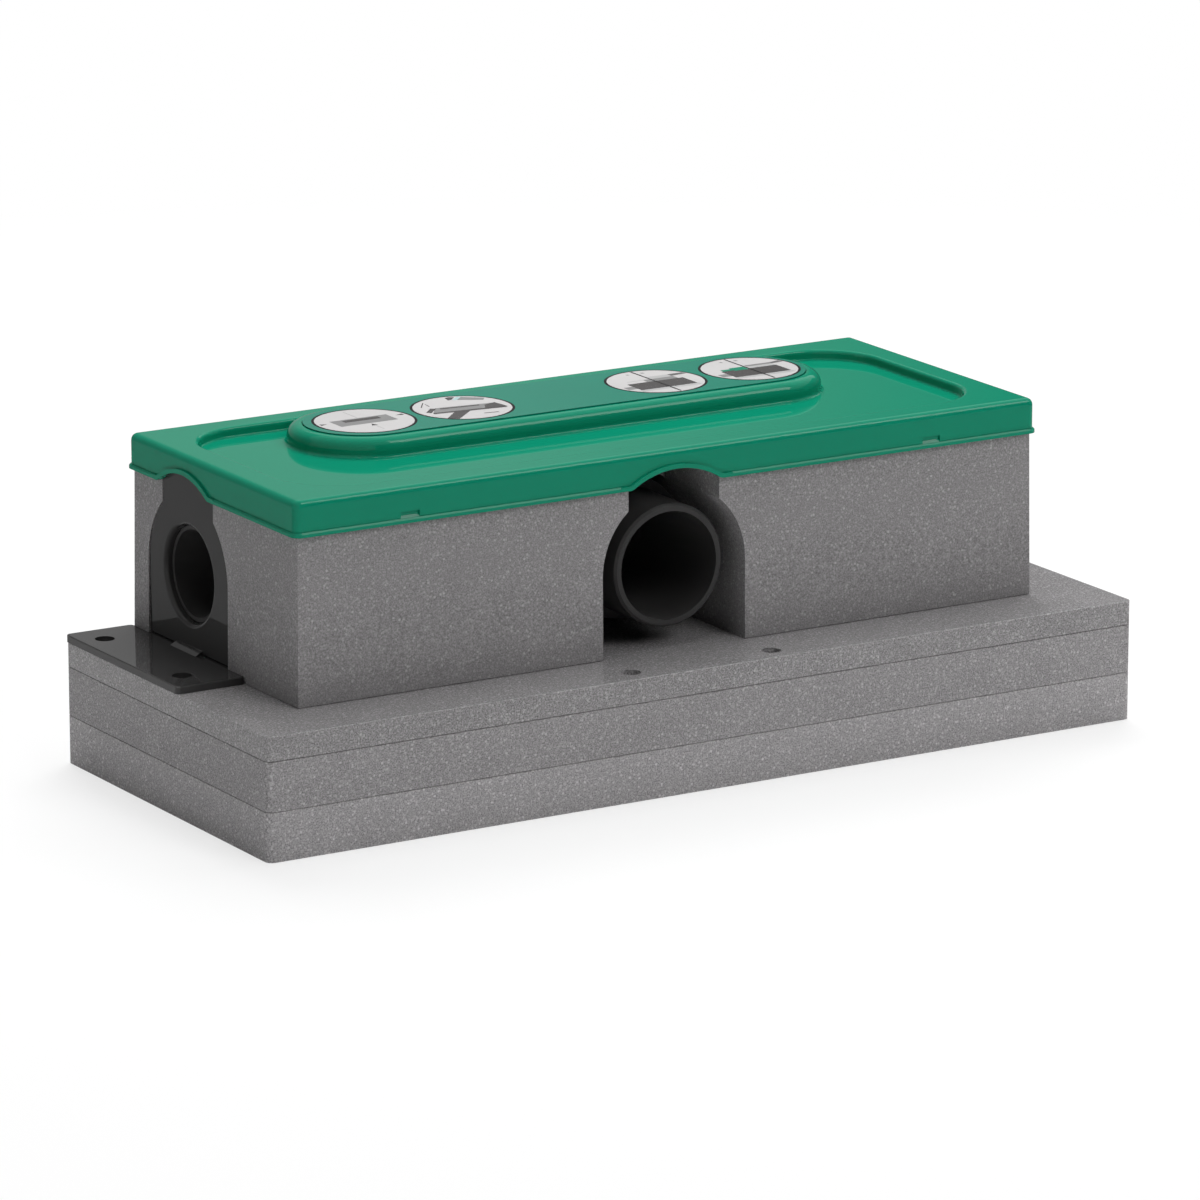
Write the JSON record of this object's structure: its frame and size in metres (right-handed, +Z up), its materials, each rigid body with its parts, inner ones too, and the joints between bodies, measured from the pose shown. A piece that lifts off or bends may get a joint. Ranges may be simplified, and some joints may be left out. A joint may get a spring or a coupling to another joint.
{
  "type": "shower drain body",
  "caption": "Linear shower drain body in a grey foam surround on stacked foam height slabs, with a round outlet, floor brackets at its ends and a green lift-off site cover.",
  "frame": {"origin": "middle of the bottom slab's underside", "axes": "+X along the base, +Y towards the wall behind it so that the outlet leaves by -Y, +Z up"},
  "size_m": [0.4, 0.167, 0.136],
  "materials": {
    "grey_foam": "speckled moulded bead foam",
    "black_plastic": "satin moulded",
    "glossy_black_plastic": "glossy moulded",
    "trap_plastic": "satin moulded",
    "seal_rubber": "soft matt",
    "collar_fleece": "fleece-faced sheet",
    "green_plastic": "glossy moulded",
    "label_film": "printed film"
  },
  "bodies": {
    "drain": {"base_slab_bottom": "grey_foam", "base_slab_middle": "grey_foam", "base_slab_top": "grey_foam", "foam_surround": "grey_foam", "drain_trough": "black_plastic", "neck_frame": "black_plastic", "front_socket": "black_plastic", "left_socket": "black_plastic", "right_socket": "black_plastic", "outlet_spigot": "black_plastic", "outlet_seal": "seal_rubber", "left_blank_plug": "black_plastic", "right_blank_plug": "black_plastic", "left_plug_seal": "seal_rubber", "right_plug_seal": "seal_rubber", "left_bracket_plate": "glossy_black_plastic", "left_bracket_foot": "glossy_black_plastic", "right_bracket_plate": "glossy_black_plastic", "right_bracket_foot": "glossy_black_plastic", "trap_plate": "trap_plastic", "dip_tube": "trap_plastic", "trap_cup": "trap_plastic", "trap_seal": "seal_rubber", "hair_strainer": "trap_plastic", "inlet_seal": "seal_rubber", "sealing_collar": "collar_fleece"},
    "cover": {"protective_cover": "green_plastic", "cover_label": "label_film"}
  },
  "joints": [
    {"name": "cover_lift", "type": "slide", "parent": "drain", "child": "cover", "axis": [0, 0, 1], "range_m": [0, 0.06]}
  ]
}
